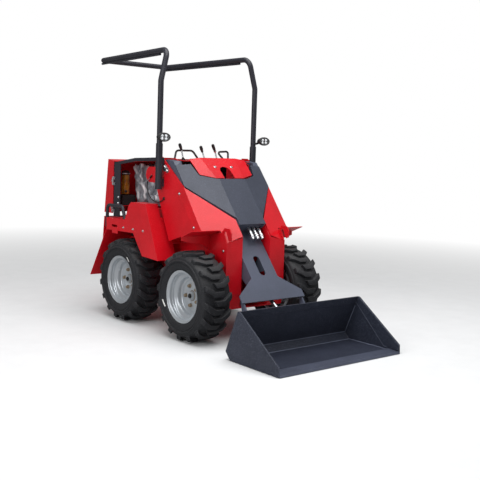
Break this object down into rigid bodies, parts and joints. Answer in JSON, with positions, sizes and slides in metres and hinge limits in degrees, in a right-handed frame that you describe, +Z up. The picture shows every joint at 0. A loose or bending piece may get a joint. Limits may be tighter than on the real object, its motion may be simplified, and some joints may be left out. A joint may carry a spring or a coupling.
{
  "type": "compact wheeled skid steer loader",
  "caption": "Compact ride-on wheeled skid steer loader with a single front boom, a bucket, a roll hoop, a seat and a rear engine door.",
  "frame": {"origin": "on the ground, under the middle of the machine's length and width", "axes": "+Z up, -Y towards the bucket, +Y towards the rear, +X towards the machine's left side"},
  "size_m": [0.998, 2.376, 1.8867],
  "materials": {
    "red_paint": "gloss red powder coat",
    "boom_grey": "satin slate grey paint",
    "bucket_grey": "satin dark blue-grey paint",
    "tube_grey": "satin anthracite paint",
    "rim_silver": "silver wheel paint",
    "tyre": "matt black rubber",
    "black_plastic": "matt black plastic",
    "seat_vinyl": "black vinyl",
    "pin_steel": "zinc plated steel",
    "chrome": "chrome",
    "cast_dark": "black painted casting",
    "amber": "amber plastic",
    "lens": "clear lens"
  },
  "bodies": {
    "chassis": {"chassis_frame": "red_paint", "tower_left": "red_paint", "tower_right": "red_paint", "cowl": "red_paint", "rear_fender_left": "red_paint", "rear_fender_right": "red_paint", "rear_hood": "red_paint", "rear_panel": "red_paint", "engine_tray_left": "red_paint", "engine_tray_right": "red_paint", "seat_box": "red_paint", "footwell_floor": "red_paint", "roll_hoop": "tube_grey", "side_frame_left": "tube_grey", "side_frame_right": "tube_grey", "grab_hoops": "tube_grey", "work_lamps": "black_plastic", "battery": "black_plastic", "hand_hoops": "black_plastic", "control_levers": "black_plastic", "throttle_cable": "black_plastic", "seat_cushion": "seat_vinyl", "seat_backrest": "seat_vinyl", "boom_pivot_pins": "pin_steel", "lift_foot_pin": "pin_steel", "wheel_motors": "cast_dark", "engine": "cast_dark", "control_valve": "cast_dark", "air_cleaner": "amber", "lamp_lenses": "lens"},
    "boom": {"boom_yoke": "boom_grey", "boom_leg": "boom_grey", "boom_cover": "boom_grey", "aux_couplers": "chrome", "tilt_foot_pin": "pin_steel", "tilt_pins": "pin_steel"},
    "bucket": {"bucket": "bucket_grey", "cutting_edge": "bucket_grey", "coupler": "bucket_grey"},
    "lift_barrel": {"lift_barrel": "cast_dark"},
    "lift_rod": {"lift_rod": "chrome"},
    "tilt_barrel": {"tilt_barrel": "cast_dark"},
    "tilt_rod": {"tilt_rod": "chrome"},
    "rear_door": {"rear_door": "red_paint"},
    "wheel_front_left": {"rim_front_left": "rim_silver", "tyre_front_left": "tyre"},
    "wheel_front_right": {"rim_front_right": "rim_silver", "tyre_front_right": "tyre"},
    "wheel_rear_left": {"rim_rear_left": "rim_silver", "tyre_rear_left": "tyre"},
    "wheel_rear_right": {"rim_rear_right": "rim_silver", "tyre_rear_right": "tyre"}
  },
  "joints": [
    {"name": "wheel_front_left_spin", "type": "hinge", "parent": "chassis", "child": "wheel_front_left", "pos_m": [0.383, -0.224, 0.287], "axis": [1, 0, 0], "continuous": true},
    {"name": "wheel_front_right_spin", "type": "hinge", "parent": "chassis", "child": "wheel_front_right", "pos_m": [-0.383, -0.224, 0.287], "axis": [1, 0, 0], "continuous": true},
    {"name": "wheel_rear_left_spin", "type": "hinge", "parent": "chassis", "child": "wheel_rear_left", "pos_m": [0.383, 0.533, 0.287], "axis": [1, 0, 0], "continuous": true},
    {"name": "wheel_rear_right_spin", "type": "hinge", "parent": "chassis", "child": "wheel_rear_right", "pos_m": [-0.383, 0.533, 0.287], "axis": [1, 0, 0], "continuous": true},
    {"name": "boom_lift", "type": "hinge", "parent": "chassis", "child": "boom", "pos_m": [0, 0.151, 1.079], "axis": [-1, 0, 0], "range_deg": [0, 62]},
    {"name": "bucket_tilt", "type": "hinge", "parent": "boom", "child": "bucket", "pos_m": [0, -0.624, 0.11], "axis": [-1, 0, 0], "range_deg": [-80, 28]},
    {"name": "lift_barrel_swing", "type": "hinge", "parent": "chassis", "child": "lift_barrel", "pos_m": [0, -0.164, 0.25], "axis": [1, 0, 0], "range_deg": [0, 11]},
    {"name": "lift_rod_slide", "type": "slide", "parent": "lift_barrel", "child": "lift_rod", "axis": [0, 0.1363, 0.9907], "range_m": [0, 0.33]},
    {"name": "tilt_barrel_swing", "type": "hinge", "parent": "boom", "child": "tilt_barrel", "pos_m": [0, -0.314, 0.425], "axis": [1, 0, 0], "range_deg": [-3, 3]},
    {"name": "tilt_rod_slide", "type": "slide", "parent": "tilt_barrel", "child": "tilt_rod", "axis": [0, -0.8222, -0.5692], "range_m": [-0.045, 0.13]},
    {"name": "rear_door_swing", "type": "hinge", "parent": "chassis", "child": "rear_door", "pos_m": [-0.392, 0.798, 0.9], "axis": [0, 0, 1], "range_deg": [0, 90]}
  ],
  "couplings": [
    {"joint": "lift_barrel_swing", "follows": "boom_lift", "ratio": 0.16},
    {"joint": "lift_rod_slide", "follows": "boom_lift", "m_per_rad": 0.29},
    {"joint": "tilt_barrel_swing", "follows": "bucket_tilt", "ratio": -0.01},
    {"joint": "tilt_rod_slide", "follows": "bucket_tilt", "m_per_rad": -0.083}
  ]
}
